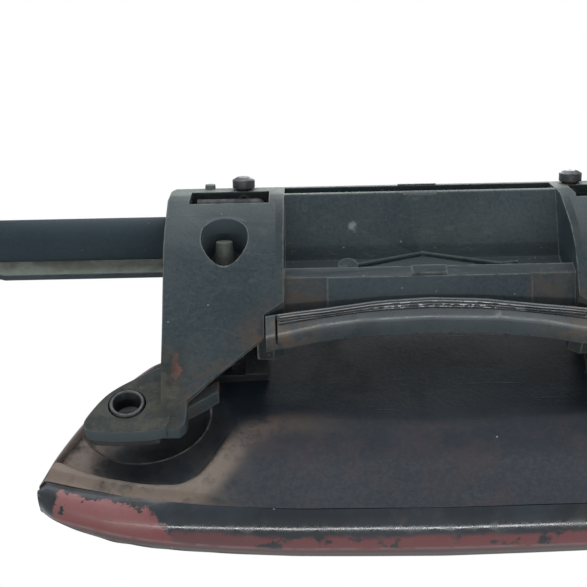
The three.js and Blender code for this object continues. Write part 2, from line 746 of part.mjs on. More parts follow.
function endCrank() {
  const hub = rodX(CRANK.x0, CRANK.x1, SHAFT.y, SHAFT.z, 6.15, 28);
  const across = new THREE.Vector2(CRANK.z - SHAFT.z, CRANK.y - SHAFT.y).normalize();
  const [nz, ny] = [-across.y, across.x];
  const web2 = prism([
    [SHAFT.z + nz * 5.6, SHAFT.y + ny * 5.6], [SHAFT.z - nz * 5.6, SHAFT.y - ny * 5.6],
    [CRANK.z - nz * 4, CRANK.y - ny * 4], [CRANK.z + nz * 4, CRANK.y + ny * 4],
  ], CRANK.x0, CRANK.x1);
  const eye = rodX(CRANK.x0, CRANK.x1, CRANK.y, CRANK.z, 4.2);
  const body = hub.add(web2).add(eye);
  const bore = rodX(110, 125, SHAFT.y, SHAFT.z, SHAFT.r + 0.32);
  return body.subtract(bore).subtract(rodX(110, 125, CRANK.y, CRANK.z, 2.35));
}

// Snap clip for the latch rod, with its own pin through the crank eye.
function rodClip() {
  const x = CRANK.x1 + 0.7;
  const pin = rodX(CRANK.x0 - 0.7, x + 4.5, CRANK.y, CRANK.z, 2);
  const head = rodX(CRANK.x0 - 1.6, CRANK.x0 - 0.5, CRANK.y, CRANK.z, 2.9);
  const body = box(x, x + 4.5, CRANK.y - 4, CRANK.y + 4, CRANK.z - 13, CRANK.z + 4);
  const low = CRANK.z - 14;
  const high = CRANK.z - 3.4;
  const channel = rod([x + 2.5, CRANK.y, low], [x + 2.5, CRANK.y, high], 1.35, 1.35, 16);
  const mouth = box(x + 2.5, x + 6, CRANK.y - 1, CRANK.y + 1, low, high);
  return body.subtract(channel).subtract(mouth).add(pin).add(head);
}

// Assembly

add('carrier_frame', carrierFrame(), 'carrier');
add('finger_guard', fingerGuard(), 'guard');
add('guard_gasket', guardGasket(), 'rubber');
add('rim_stud_left', rimStud(48.2), 'steel');
add('rim_stud_right', rimStud(-42.6), 'steel');
add('stop_peg', stopPeg(), 'carrier');
add('hinge_pin', rodX(-67.6, 67.6, HINGE.y, HINGE.z, HINGE.pin), 'steel');
add('return_spring', returnSpring(), 'steel');
add('shaft_bearing', shaftBearing(), 'nylon');
for (const side of Object.keys(SIDES)) {
  add(`lug_insert_${side}`, onSide(side, lugInsert()), 'steel');
  add(`lug_gasket_${side}`, onSide(side, lugGasket()), 'rubber');
  add(`stop_pad_${side}`, onSide(side, stopPad()), 'rubber');
  add(`pin_clip_${side}`, onSide(side, ringX(63.4, 64.4, HINGE.y, HINGE.z, 5.4, 2.85)), 'steel');
  add(`hinge_arm_${side}`, onSide(side, hingeArm()), 'dark');
  add(`hinge_bush_${side}`, onSide(side, ringX(41.4, 48.6, HINGE.y, HINGE.z, 4.15, 2.85)), 'nylon');
  add(`arm_screw_${side}`, onSide(side, armScrew()), 'steel');
}
add('flap_skin', flapSkin(), 'paint');
add('flap_liner', flapLiner(), 'liner');
add('transfer_shaft', rodX(SHAFT.start, SHAFT.end, SHAFT.y, SHAFT.z, SHAFT.r), 'steel');
add('lever_sleeve', leverSleeve(), 'dark');
add('paddle', paddle(), 'dark');
add('counterweight', counterweight(), 'steel');
add('end_crank', endCrank(), 'nylon');
add('rod_clip', rodClip(), 'nylon');

export default group;
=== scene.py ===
# Car door handle of the lift-flap type, seen from its inboard side and from below.
# Shapes are drawn in the CAD's modelling frame, in millimetres: x along the handle, y inboard and
# z up the door. row_frame moves them into the frame of the CAD pieces, which is in metres.
import json
import math

import bpy
import numpy as np
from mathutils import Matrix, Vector

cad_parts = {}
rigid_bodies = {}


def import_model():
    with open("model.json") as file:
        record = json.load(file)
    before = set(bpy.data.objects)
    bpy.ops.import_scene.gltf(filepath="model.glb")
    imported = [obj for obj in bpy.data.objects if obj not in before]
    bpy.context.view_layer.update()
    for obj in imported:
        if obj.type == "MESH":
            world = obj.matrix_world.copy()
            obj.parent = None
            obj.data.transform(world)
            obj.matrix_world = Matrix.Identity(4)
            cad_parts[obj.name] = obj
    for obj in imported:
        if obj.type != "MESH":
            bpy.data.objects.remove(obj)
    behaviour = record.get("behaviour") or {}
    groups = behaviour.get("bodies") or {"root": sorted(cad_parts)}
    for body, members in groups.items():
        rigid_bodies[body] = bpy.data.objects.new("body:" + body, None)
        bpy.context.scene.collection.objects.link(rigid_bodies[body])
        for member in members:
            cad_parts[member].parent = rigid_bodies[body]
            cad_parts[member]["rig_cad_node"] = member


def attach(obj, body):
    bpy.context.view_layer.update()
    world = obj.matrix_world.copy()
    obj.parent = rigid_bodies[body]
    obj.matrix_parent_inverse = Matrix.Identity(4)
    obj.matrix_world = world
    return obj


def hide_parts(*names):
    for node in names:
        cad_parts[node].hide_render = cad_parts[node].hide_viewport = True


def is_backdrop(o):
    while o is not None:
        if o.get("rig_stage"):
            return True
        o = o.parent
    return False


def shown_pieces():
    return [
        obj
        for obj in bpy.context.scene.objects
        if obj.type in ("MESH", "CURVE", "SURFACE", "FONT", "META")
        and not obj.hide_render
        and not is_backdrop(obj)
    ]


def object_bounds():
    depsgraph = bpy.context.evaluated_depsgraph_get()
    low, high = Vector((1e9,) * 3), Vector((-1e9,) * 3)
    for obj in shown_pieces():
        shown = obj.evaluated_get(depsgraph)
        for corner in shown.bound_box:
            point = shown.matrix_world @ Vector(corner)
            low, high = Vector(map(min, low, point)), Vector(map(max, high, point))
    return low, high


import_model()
CAD_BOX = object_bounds()

MM = 0.001
SEAT_Y, SEAT_Z = -19.2, 38.0  # the middle of the upper seat in the modelling frame, as in the CAD
SAMPLE = 0.5  # spacing of the points of a rounded curve
SHARP_EDGE = 28  # degrees: an edge past this is given a moulded radius

BLOCK_SIDE = 39.0  # the blocks' walls beside the pocket, from the middle
CUP_X, CUP_Z, CUP_RADIUS = 52.6, 11.6, 8.6  # the round cup in each block
WELL_X, WELL_Z = 74.0, -18.5  # the well under each lug
WELL_HALF_WIDTH, WELL_HALF_HEIGHT = 17.0, 15.5

# ---------------------------------------------------------------- shape tools


def smooth(t):
    t = np.clip(t, 0.0, 1.0)
    return t * t * (3 - 2 * t)


def bell(half):
    """Weights that smooth a curve over this many samples to each side."""
    weights = np.hanning(2 * half + 3)[1:-1]
    return weights / weights.sum()


def rounded(points, reach):
    """A curve through (across, value) pairs with its corners rounded over a reach."""
    across = np.arange(0, 100, SAMPLE)
    values = np.interp(across, [p[0] for p in points], [p[1] for p in points])
    half = int(reach / SAMPLE)
    padded = np.concatenate([values[half:0:-1], values, np.full(half, values[-1])])
    soft = np.convolve(padded, bell(half), "valid")
    return lambda a: np.interp(np.abs(a), across, soft)


def path_length(points):
    """Length of the path through the points, up to each of them."""
    return np.concatenate([[0], np.cumsum(np.hypot(*np.diff(points, axis=0).T))])


def row_frame(points):
    """Points of the modelling frame, in millimetres, as row-frame metres."""
    return (np.asarray(points, float) - (0, SEAT_Y, SEAT_Z)) * MM


def smooth_by_angle(degrees):
    """A node group that shades smooth, and sharp along edges past an angle."""
    name = f"smooth_{degrees}"
    if name in bpy.data.node_groups:
        return bpy.data.node_groups[name]
    tree = bpy.data.node_groups.new(name, "GeometryNodeTree")
    tree.interface.new_socket("Geometry", in_out="INPUT", socket_type="NodeSocketGeometry")
    tree.interface.new_socket("Geometry", in_out="OUTPUT", socket_type="NodeSocketGeometry")
    entry = tree.nodes.new("NodeGroupInput")
    leave = tree.nodes.new("NodeGroupOutput")
    faces = tree.nodes.new("GeometryNodeSetShadeSmooth")
    edges = tree.nodes.new("GeometryNodeSetShadeSmooth")
    edges.domain = "EDGE"
    edges.inputs["Shade Smooth"].default_value = False
    angle = tree.nodes.new("GeometryNodeInputMeshEdgeAngle")
    over = tree.nodes.new("FunctionNodeCompare")
    over.data_type = "FLOAT"
    over.operation = "GREATER_THAN"
    over.inputs["B"].default_value = math.radians(degrees)
    tree.links.new(entry.outputs[0], faces.inputs["Geometry"])
    tree.links.new(faces.outputs[0], edges.inputs["Geometry"])
    tree.links.new(angle.outputs["Unsigned Angle"], over.inputs["A"])
    tree.links.new(over.outputs[0], edges.inputs["Selection"])
    tree.links.new(edges.outputs[0], leave.inputs[0])
    return tree


def shade(obj, degrees=32):
    mod = obj.modifiers.new("shade", "NODES")
    mod.node_group = smooth_by_angle(degrees)


def soften(obj, width):
    """Moulded edges: the facets are merged and each sharp edge gets a small radius."""
    weld = obj.modifiers.new("weld", "WELD")
    weld.merge_threshold = 0.01 * MM
    flat = obj.modifiers.new("flat", "DECIMATE")
    flat.decimate_type = "DISSOLVE"
    flat.angle_limit = math.radians(1.0)
    bevel = obj.modifiers.new("edge", "BEVEL")
    bevel.width = width * MM
    bevel.segments = 3
    bevel.limit_method = "ANGLE"
    bevel.angle_limit = math.radians(SHARP_EDGE)
    bevel.use_clamp_overlap = True
    bevel.miter_outer = "MITER_ARC"
    shade(obj, 40)


def show(name, data):
    """Puts a new object in the scene."""
    obj = bpy.data.objects.new(name, data)
    bpy.context.scene.collection.objects.link(obj)
    return obj


def loft(name, rings, fields, body):
    """A closed shell through rings whose second half mirrors the first half's order."""
    stations, n, _ = rings.shape
    points = row_frame(rings.reshape(-1, 3))
    faces = []
    for i in range(stations - 1):
        for k in range(n):
            j = (k + 1) % n
            faces.append((i * n + k, i * n + j, (i + 1) * n + j, (i + 1) * n + k))
    for i, turn in ((0, -1), (stations - 1, 1)):
        for k in range(n // 2 - 1):
            quad = (i * n + k, i * n + k + 1, i * n + n - 2 - k, i * n + n - 1 - k)
            faces.append(quad[::turn])
    mesh = bpy.data.meshes.new(name)
    mesh.from_pydata([tuple(p) for p in points], [], faces)
    for field, values in fields.items():
        layer = mesh.attributes.new(field, "FLOAT", "POINT")
        layer.data.foreach_set("value", np.asarray(values, np.float32).reshape(-1))
    obj = show(name, mesh)
    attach(obj, body)
    return obj


def outward(obj):
    """Turns every face of a closed mesh outwards."""
    import bmesh

    work = bmesh.new()
    work.from_mesh(obj.data)
    bmesh.ops.recalc_face_normals(work, faces=work.faces)
    work.to_mesh(obj.data)
    work.free()


# ---------------------------------------------------------------- flap

HALF = 98.0  # half the flap's length
LINER_HALF = 97.2
SKIN = 2.4  # thickness of the painted skin
FACE_Y = -36.6  # the outer face at the foot of its crown, half way along
LIP_Y = -21.0  # the lip that is turned over
RIDGE_Y = -20.2  # the liner's ridge half way along
FACE_ROWS, NOSE_ROWS, CORNER_ROWS, LINER_ROWS = 40, 46, 9, 150
SKIN_SECTIONS, LINER_SECTIONS = 240, 230
BEAD_HEIGHT, BEAD_ANGLE, BEAD_WIDTH = 0.22, 1.19, 0.045  # the moulding's parting line on the nose

# Heights over the distance from the middle: the flap's lower and upper edges, and the seam where
# the turned lip meets the liner.
LIP = rounded(
    [(0, -57.6), (36, -57), (57, -55.9), (69, -55), (80, -53.3), (89, -50.2), (94, -47.9),
     (97, -45.9), (98, -44.2)], 2)
CREST = rounded(
    [(0, 16.5), (38, 14.5), (60, 7), (74, -3), (84, -13), (89.8, -21.7), (92.6, -27),
     (95.8, -33.8), (97.5, -39.5), (98, -43)], 2)
SEAM = rounded(
    [(0, -51.8), (34.5, -51.4), (52, -50.2), (60.5, -49.1), (70, -47.7), (77.4, -46),
     (82.4, -44.4), (87.3, -43), (91.8, -41.6), (98, -39.6)], 5)
# The liner's ridge, as distance from the middle and height.
RIDGE = [
    (0, -26), (20, -25.3), (34, -24.3), (43, -25), (48, -28), (51.5, -32.5), (54.5, -38),
    (57.5, -42.5), (63, -45.6), (72, -45), (82, -42.4), (88.5, -40), (95, -36.5),
]


def outer_face(x, z):
    """Depth of the painted face: crowned up and down, and swept back towards the tips."""
    crown = 3.2 * (1 - ((z + 28) / 42) ** 2)
    return FACE_Y - np.maximum(-2.5, crown) + 8.2 * np.abs(x / HALF) ** 2.8


def inner_lip(x):
    return LIP_Y - 2.2 * np.abs(x / HALF) ** 3


def flap_stations(count, half):
    """Places along the flap for its sections, closer together at the tips."""
    turn = np.linspace(-math.pi / 2, math.pi / 2, count)
    even = turn / (math.pi / 2)
    return half * (0.45 * np.sin(turn) + 0.55 * even)


def edge_wall(x):
    """Thickness, turn and height of the wall along the upper edge, low behind the blocks."""
    span = CREST(x) - LIP(x)
    lowered = 7.5 * (1 - smooth((abs(x) - 52) / 22))
    return min(SKIN, span * 0.22), min(5.0, span * 0.26), inner_lip(x) - 0.8 - lowered


def skin_section(x):
    """Edge wall, outer face, round nose and the lip turned over, then the same way back.

    Also each point's distance along the section from the seam and from the crest.
    """
    lip, crest, inner = LIP(x), CREST(x), inner_lip(x)
    reach = min((inner - outer_face(x, lip + 6)) / 2, (crest - lip) * 0.36)
    seam = min(max(SEAM(x), lip + reach * 0.62), lip + (crest - lip) * 0.66)
    foot = outer_face(x, lip + reach)
    t = min(SKIN, (inner - foot) * 0.28)
    yc, ry = (inner + foot) / 2, (inner - foot) / 2
    inset = min(max(reach - t, 0.4), reach)
    last = math.pi - math.asin(min(1.0, max(-1.0, (lip + reach - seam) / reach)))
    wall, turn, top = edge_wall(x)
    outer_base = outer_face(x, crest - turn)
    deep = min(turn, (top - outer_base) * 0.5)
    theta = np.linspace(0, math.pi / 2, CORNER_ROWS)
    brow = wall / 2
    up = np.stack([top - brow + brow * np.cos(theta), crest - brow + brow * np.sin(theta)], 1)
    corner = np.stack([outer_base + deep * (1 - np.sin(theta)),
                       crest - turn + turn * np.cos(theta)], 1)
    up_in = np.stack([top - brow + brow * np.cos(theta), crest - brow - brow * np.sin(theta)], 1)
    corner_in = np.stack([outer_base + t + (deep - t * 0.5) * (1 - np.sin(theta)),
                          crest - turn + (turn - wall) * np.cos(theta)], 1)
    z = np.linspace(crest - turn, lip + reach, FACE_ROWS)[1:]
    k = np.linspace(0, last, NOSE_ROWS + 1)[1:]
    bead = BEAD_HEIGHT * np.exp(-(((k - BEAD_ANGLE) / BEAD_WIDTH) ** 2))
    outer = np.concatenate([
        up, corner, np.stack([outer_face(x, z), z], 1),
        np.stack([yc - (ry + bead) * np.cos(k), lip + reach - (reach + bead) * np.sin(k)], 1)])
    inside = np.concatenate([
        up_in, corner_in, np.stack([outer_face(x, z) + t, z], 1),
        np.stack([yc - (ry - t) * np.cos(k), lip + reach - inset * np.sin(k)], 1)])
    ring = np.concatenate([outer, inside[::-1]])
    arc = path_length(outer)
    from_seam = arc[-1] - arc
    return (np.column_stack([np.full(len(ring), x), ring]),
            np.concatenate([from_seam, from_seam[::-1]]), np.concatenate([arc, arc[::-1]]))


def make_flap_skin():
    stations = flap_stations(SKIN_SECTIONS, HALF - 0.1)
    rings, to_seam, to_crest = zip(*[skin_section(x) for x in stations])
    fields = {"from_seam": to_seam, "from_crest": to_crest}
    return loft("painted_flap_skin", np.array(rings), fields, "flap")


def ridge_curve():
    """The ridge's line as dense points with its corners rounded."""
    points = np.array(RIDGE, float)
    length = path_length(points)
    even = np.arange(0, length[-1], SAMPLE)
    line = np.column_stack([np.interp(even, length, points[:, i]) for i in (0, 1)])
    half = 7
    padded = np.concatenate([line[half:0:-1] * (-1, 1), line, np.repeat(line[-1:], half, 0)])
    return np.column_stack([np.convolve(padded[:, i], bell(half), "valid") for i in (0, 1)])


RIDGE_LINE = ridge_curve()


def ridge_distance(a, z):
    """Distance from (a, z) to the ridge, negative on the side of the lip."""
    start, end = RIDGE_LINE[:-1], RIDGE_LINE[1:]
    span = end - start
    rel = np.stack([a, z], -1)[..., None, :] - start
    t = np.clip((rel * span).sum(-1) / (span**2).sum(-1), 0, 1)
    off = rel - t[..., None] * span
    far = np.hypot(off[..., 0], off[..., 1])
    best = far.argmin(-1)
    near = np.take_along_axis(far, best[..., None], -1)[..., 0]
    cross = rel[..., 0] * span[:, 1] - rel[..., 1] * span[:, 0]
    side = np.take_along_axis(cross, best[..., None], -1)[..., 0]
    return np.where(side > 0, -near, near)


def liner_top(x, z):
    """Inner surface: finger recess, ridge, the fall towards the hinge and the lug wells."""
    a = np.abs(x)
    d = ridge_distance(a, z)
    ridge = RIDGE_Y - 2 * (a / HALF) ** 3
    recess = (1.3 - 0.6 * smooth((a - 50) / 12)) * smooth(-d / 13)
    fall = np.interp(z, [-50, -26, -14, 14], [0.4, 1, 3.2, 7.6])
    fall *= 1 - np.exp(-np.maximum(d, 0) / 9)
    hollow = 4.2 * smooth((d - 1.0) / 3.2) * smooth((a - 49) / 7) * smooth((-8 - z) / 12)
    well = 2.4 * (1 - smooth((well_reach(a, z) - 0.9) / 0.09)) * smooth((a - 54) / 5)
    wave = 0.12 * np.sin(x * 0.11 + 1.3) * np.sin(z * 0.16 + x * 0.03)
    return ridge - np.where(d <= 0, recess, np.maximum(fall, hollow)) - well + wave, d


def well_reach(a, z):
    """1 on the rim of the round well under each lug, less inside it."""
    return np.hypot((a - WELL_X) / WELL_HALF_WIDTH, (z - WELL_Z) / WELL_HALF_HEIGHT)


def liner_sections():
    """Rings of the liner, with each point's distance to the ridge and reach in the well."""
    rings, ridges, wells = [], [], []
    for x in flap_stations(LINER_SECTIONS, LINER_HALF):
        lip, whole = LIP(x), CREST(x) - LIP(x)
        wall, _, wall_top = edge_wall(x)
        crest = CREST(x) - wall - 0.15
        low = min(max(SEAM(x), lip + 3.5), lip + whole * 0.66) + 0.15
        low = min(low, crest - 0.3)
        z = np.linspace(low, crest, LINER_ROWS)
        top, d = liner_top(np.full(LINER_ROWS, x), z)
        floor = outer_face(x, z) + SKIN + 0.4
        top = np.maximum(top, floor + 1.2)
        joined = inner_lip(x) - 0.35 + 4 * smooth((z - low) / 7)
        beside = wall_top + 0.25 + 9 * smooth((crest - z) / 6)
        tips = smooth((abs(x) - 60) / 12)
        top = np.minimum(top, joined)
        top = np.where(beside < top, top + (beside - top) * tips, top)
        under = np.minimum(np.maximum(top - 2.0, floor), top - 0.8)
        ring = np.concatenate([np.stack([top, z], 1), np.stack([under, z], 1)[::-1]])
        rings.append(np.column_stack([np.full(len(ring), x), ring]))
        ridges.append(np.concatenate([d, d[::-1]]))
        away = well_reach(abs(x), z)
        wells.append(np.concatenate([away, away[::-1]]))
    return np.array(rings), np.array(ridges), np.array(wells)


def make_flap_liner():
    rings, ridges, wells = liner_sections()
    return loft("flap_inner_liner", rings, {"ridge": ridges, "well": wells}, "flap")


# ---------------------------------------------------------------- material tools

MIX_FACTOR, MIX_A, MIX_B, MIX_RESULT = 0, 6, 7, 2  # a Mix node's sockets when it mixes colours


class Finish:
    """Builds one procedural material. Sizes are in millimetres and colours in linear RGB."""

    def __init__(self, name):
        self.material = bpy.data.materials.new(name)
        self.material.use_nodes = True
        self.tree = self.material.node_tree
        self.shader = self.tree.nodes["Principled BSDF"]
        coords = self.tree.nodes.new("ShaderNodeTexCoord")
        self.where = coords.outputs["Object"]
        self.facing = coords.outputs["Normal"]
        self.bump_top = None

    def put(self, socket, value):
        if isinstance(value, bpy.types.NodeSocket):
            self.tree.links.new(value, socket)
        elif isinstance(value, tuple) and len(value) == 3 and len(socket.default_value) == 4:
            socket.default_value = (*value, 1)
        else:
            socket.default_value = value

    def math(self, operation, a, b=0.0, clamp=False):
        node = self.tree.nodes.new("ShaderNodeMath")
        node.operation = operation
        node.use_clamp = clamp
        self.put(node.inputs[0], a)
        self.put(node.inputs[1], b)
        return node.outputs[0]

    def times(self, *values):
        out = values[0]
        for value in values[1:]:
            out = self.math("MULTIPLY", out, value)
        return out

    def plus(self, *values):
        out = values[0]
        for value in values[1:]:
            out = self.math("ADD", out, value)
        return out

    def larger(self, a, b):
        return self.math("MAXIMUM", a, b)

    def absolute(self, value):
        return self.math("ABSOLUTE", value)

    def inverse(self, value):
        """1 where the value is 0, and 0 where it is 1."""
        return self.math("SUBTRACT", 1.0, value, clamp=True)

    def radius(self, a, b):
        return self.math("SQRT", self.plus(self.times(a, a), self.times(b, b)))

    def step(self, value, start, end, low=0.0, high=1.0):
        """A smooth rise of the value from start to end."""
        node = self.tree.nodes.new("ShaderNodeMapRange")
        node.interpolation_type = "SMOOTHSTEP"
        self.put(node.inputs["Value"], value)
        node.inputs["From Min"].default_value = min(start, end)
        node.inputs["From Max"].default_value = max(start, end)
        node.inputs["To Min"].default_value = low if start < end else high
        node.inputs["To Max"].default_value = high if start < end else low
        return node.outputs["Result"]

    def band(self, value, start, end, soft):
        """1 from start to end, with soft edges."""
        return self.times(
            self.step(value, start - soft, start + soft), self.step(value, end + soft, end - soft)
        )

    def noise(self, size, detail=4.0, rough=0.55, stretch=None, shift=0.0, distortion=0.0):
        """Noise about 0 to 1 whose blotches are about one size across, in mm."""
        node = self.tree.nodes.new("ShaderNodeTexNoise")
        vector = self.where
        if stretch or shift:
            mapping = self.tree.nodes.new("ShaderNodeMapping")
            mapping.inputs["Scale"].default_value = stretch or (1, 1, 1)
            mapping.inputs["Location"].default_value = (shift, shift * 0.7, -shift)
            self.put(mapping.inputs["Vector"], vector)
            vector = mapping.outputs[0]
        self.put(node.inputs["Vector"], vector)
        node.inputs["Scale"].default_value = 1 / (size * MM)
        node.inputs["Detail"].default_value = detail
        node.inputs["Roughness"].default_value = rough
        node.inputs["Distortion"].default_value = distortion
        return node.outputs["Fac"]

    def cells(self, size):
        """Distance to the middle of the nearest cell, and that cell's own random colour."""
        node = self.tree.nodes.new("ShaderNodeTexVoronoi")
        self.put(node.inputs["Vector"], self.where)
        node.inputs["Scale"].default_value = 1 / (size * MM)
        return node.outputs["Distance"], node.outputs["Color"]

    def axis(self, vector, index):
        node = self.tree.nodes.new("ShaderNodeSeparateXYZ")
        self.put(node.inputs[0], vector)
        return node.outputs[index]

    def millimetres(self, index):
        """A coordinate of the modelling frame, in millimetres."""
        scaled = self.times(self.axis(self.where, index), 1 / MM)
        return self.plus(scaled, (0.0, SEAT_Y, SEAT_Z)[index])

    def field(self, name):
        node = self.tree.nodes.new("ShaderNodeAttribute")
        node.attribute_name = name
        return node.outputs["Fac"]

    def crevice(self, distance):
        """1 deep in a corner and 0 in the open."""
        node = self.tree.nodes.new("ShaderNodeAmbientOcclusion")
        node.samples = 6
        node.inputs["Distance"].default_value = distance * MM
        return self.inverse(node.outputs["AO"])

    def edges(self, reach=0.7):
        """1 along the edges of the shape, out to about the reach in mm."""
        rounding = self.tree.nodes.new("ShaderNodeBevel")
        rounding.samples = 4
        rounding.inputs["Radius"].default_value = reach * MM
        surface = self.tree.nodes.new("ShaderNodeNewGeometry")
        compare = self.tree.nodes.new("ShaderNodeVectorMath")
        compare.operation = "DOT_PRODUCT"
        self.put(compare.inputs[0], rounding.outputs["Normal"])
        self.put(compare.inputs[1], surface.outputs["Normal"])
        flat, turned = 0.99, 0.88  # cosine between the rounded and the true normal
        return self.step(compare.outputs["Value"], flat, turned)

    def mix(self, fac, a, b):
        node = self.tree.nodes.new("ShaderNodeMix")
        node.data_type = "RGBA"
        self.put(node.inputs[MIX_FACTOR], fac)
        self.put(node.inputs[MIX_A], a)
        self.put(node.inputs[MIX_B], b)
        return node.outputs[MIX_RESULT]

    def bump(self, height, distance):
        """Adds relief, its depth in mm."""
        node = self.tree.nodes.new("ShaderNodeBump")
        node.inputs["Distance"].default_value = distance * MM
        self.put(node.inputs["Height"], height)
        if self.bump_top is not None:
            self.put(node.inputs["Normal"], self.bump_top)
        self.bump_top = node.outputs[0]

    def done(self, color, roughness, metallic=0.0, specular=0.5):
        """Wires everything into the shader and gives back the material."""
        self.put(self.shader.inputs["Base Color"], color)
        self.put(self.shader.inputs["Roughness"], roughness)
        self.shader.inputs["Metallic"].default_value = metallic
        self.shader.inputs["Specular IOR Level"].default_value = specular
        if self.bump_top is not None:
            self.put(self.shader.inputs["Normal"], self.bump_top)
        return self.material


# Colours in linear RGB.
DUST = (0.085, 0.088, 0.068)
PALE_DUST_AND_LIGHT = (0.31, 0.34, 0.30)
BLUE_DUST = (0.052, 0.067, 0.078)
BROWN_DUST = (0.095, 0.078, 0.066)
SPECK = (0.30, 0.30, 0.28)
DIRT = (0.085, 0.062, 0.046)
EARTH = (0.072, 0.052, 0.040)
GOLDEN_EARTH = (0.13, 0.092, 0.060)
DRIED_EARTH = (0.150, 0.118, 0.096)
CAKED_EARTH = (0.16, 0.122, 0.102)
CAKED_RIM = (0.155, 0.132, 0.120)
BROWN = (0.085, 0.060, 0.048)
MAUVE = (0.048, 0.036, 0.037)
RUST = (0.12, 0.062, 0.035)
OIL = (0.09, 0.07, 0.045)
SCUFF = (0.22, 0.23, 0.23)
GLINT = (0.50, 0.52, 0.54)
RED = (0.120, 0.024, 0.026)
RED_WORN = (0.190, 0.074, 0.076)
RED_SMEAR = (0.21, 0.070, 0.060)
RED_IN_SHADE = (0.026, 0.017, 0.017)
OUTER_RED = (0.165, 0.018, 0.021)
OUTER_RED_FADED = (0.205, 0.036, 0.038)
OVERSPRAY = (0.0035, 0.0065, 0.0105)
OVERSPRAY_PALE = (0.009, 0.015, 0.022)


def specks(f, size, radius=0.055, sparse=0.72):
    """Sparse pale dust grains: spacing in mm, size in spacings and the share left out."""
    far, colour = f.cells(size)
    chance = f.axis(colour, 0)
    return f.times(f.step(far, radius, radius * 0.5), f.step(chance, sparse, sparse + 0.04))


def moulded(
    name, dark, light, rough=0.5, dust=0.35, dirt=0.6, edge_wear_and_highlight=0.35, worn=(0.08, 0.085, 0.085),
    specular=0.3, carrier=False
):
    """Moulded black plastic: spark grain, dust on its inboard faces and dirt in its corners."""
    f = Finish(name)
    broad = f.noise(34, detail=3, rough=0.5)
    small = f.noise(1.0, detail=5, rough=0.75, shift=3.1)
    tone = f.step(f.plus(f.times(broad, 0.45), f.times(small, 0.55)), 0.34, 0.66)
    color = f.mix(tone, dark, light)
    lifted = f.step(f.axis(f.facing, 1), 0.55, 0.97)
    haze = f.plus(f.times(f.noise(0.8, detail=6, rough=0.85, shift=1.7), 0.6),
                  f.times(f.noise(18, detail=5, rough=0.6, shift=4.3), 0.4))
    film = f.times(lifted, f.step(haze, 0.38, 0.66), dust)
    if carrier:
        color, film = paint_shade_in_the_pocket(f, color, film)
        color = dust_and_light_the_sills(f, color)
    color = f.mix(film, color, DUST)
    settled = f.times(f.step(f.axis(f.facing, 2), 0.6, 0.95),
                      f.step(f.noise(9, detail=6, rough=0.7, shift=13.0), 0.3, 0.7), dust, 1.8)
    color = f.mix(settled, color, DUST)
    deep = f.step(f.crevice(5), 0.42, 0.85)
    grime = f.times(deep, f.step(f.noise(6, detail=4, shift=5.2), 0.42, 0.62), dirt)
    color = f.mix(grime, color, DIRT)
    # Pale edges: partly wear, partly a painted highlight along every edge.
    chips = f.step(f.noise(3.2, detail=4, shift=7.7), 0.28, 0.56)
    color = f.mix(f.times(f.edges(), chips, edge_wear_and_highlight), color, worn)
    if carrier:
        color = soil_the_blocks(f, color)
        color = smear_the_post(f, color)
        color = dust_the_cups(f, color)
        color = soil_and_light_the_ears(f, color)
    wisps = f.noise(2.6, detail=5, rough=0.7, stretch=(0.35, 1, 1), shift=11.0, distortion=1.6)
    here = f.step(f.noise(13, detail=2, shift=1.1), 0.38, 0.56)
    color = f.mix(f.times(f.step(wisps, 0.54, 0.72), here, dust, 1.5), color, DUST)
    if carrier:
        color = scuff_the_pocket(f, color)
    color = f.mix(f.times(specks(f, 3.6, 0.075, 0.45), 0.5), color, SPECK)
    scratch = f.noise(1.1, detail=2, stretch=(0.08, 1, 1), shift=2.2)
    f.bump(f.noise(0.42, detail=2, rough=0.5), 0.05)
    f.bump(small, 0.05)
    f.bump(f.step(scratch, 0.66, 0.74), 0.02)
    roughness = f.plus(f.times(f.step(small, 0.3, 0.7), 0.14), rough - 0.07)
    roughness = f.math("ADD", roughness, f.times(film, 0.25), clamp=True)
    return f.done(color, roughness, specular=specular)


def faces_inboard(f):
    return f.step(f.axis(f.facing, 1), 0.25, 0.6)


def paint_shade_in_the_pocket(f, color, film):
    """Less dust low down, painted shade on the square steps, and a darker band low in the pocket
    between the blocks.
    """
    height = f.millimetres(2)
    # Painted shade: the square faces of the steps between the blocks are darkened.
    square = f.step(f.axis(f.facing, 1), 0.975, 0.995)
    between = f.step(f.absolute(f.millimetres(0)), BLOCK_SIDE + 0.6, BLOCK_SIDE)
    shaded_steps = f.times(square, between)
    color = f.mix(f.times(shaded_steps, 0.6), color, (0.004, 0.008, 0.011))
    foot = f.times(between, f.band(height, 6, 22, 5.0), 0.5)
    color = f.mix(foot, color, (0.008, 0.015, 0.020))
    return color, f.times(film, f.step(height, 4, 38, 0.5, 1.9), f.inverse(shaded_steps))


def dust_and_light_the_sills(f, color):
    """Pale dust on the sills along the top and on the arm under the shaft; on the arm it is also
    painted light, pale enough to undo the shaft's shadow.
    """
    x, height = f.millimetres(0), f.millimetres(2)
    cloud = f.step(f.noise(7, detail=6, rough=0.7), 0.1, 0.6, 0.45, 1.0)
    # On the arm the pale film is partly dust, partly painted light in the shaft's shadow.
    arm = f.times(f.step(x, 69, 71), f.step(height, 10, 14), 0.95)
    sill = f.times(f.step(height, 30.5, 34), 0.30)
    dust_and_painted_light = f.times(f.larger(arm, sill), cloud, faces_inboard(f))
    return f.mix(dust_and_painted_light, color, PALE_DUST_AND_LIGHT)


def dust_the_cups(f, color):
    """A pale film inside the round cups, below the slope of the blocks' faces."""
    across, height = f.absolute(f.millimetres(0)), f.millimetres(2)
    off = f.radius(f.plus(across, -CUP_X), f.plus(height, -CUP_Z))
    behind_face = f.plus(f.millimetres(1), f.times(height, -0.35))
    inside = f.times(f.step(off, CUP_RADIUS, CUP_RADIUS - 0.4), f.step(behind_face, 3.7, 3.3))
    return f.mix(f.times(inside, 0.8), color, BLUE_DUST)


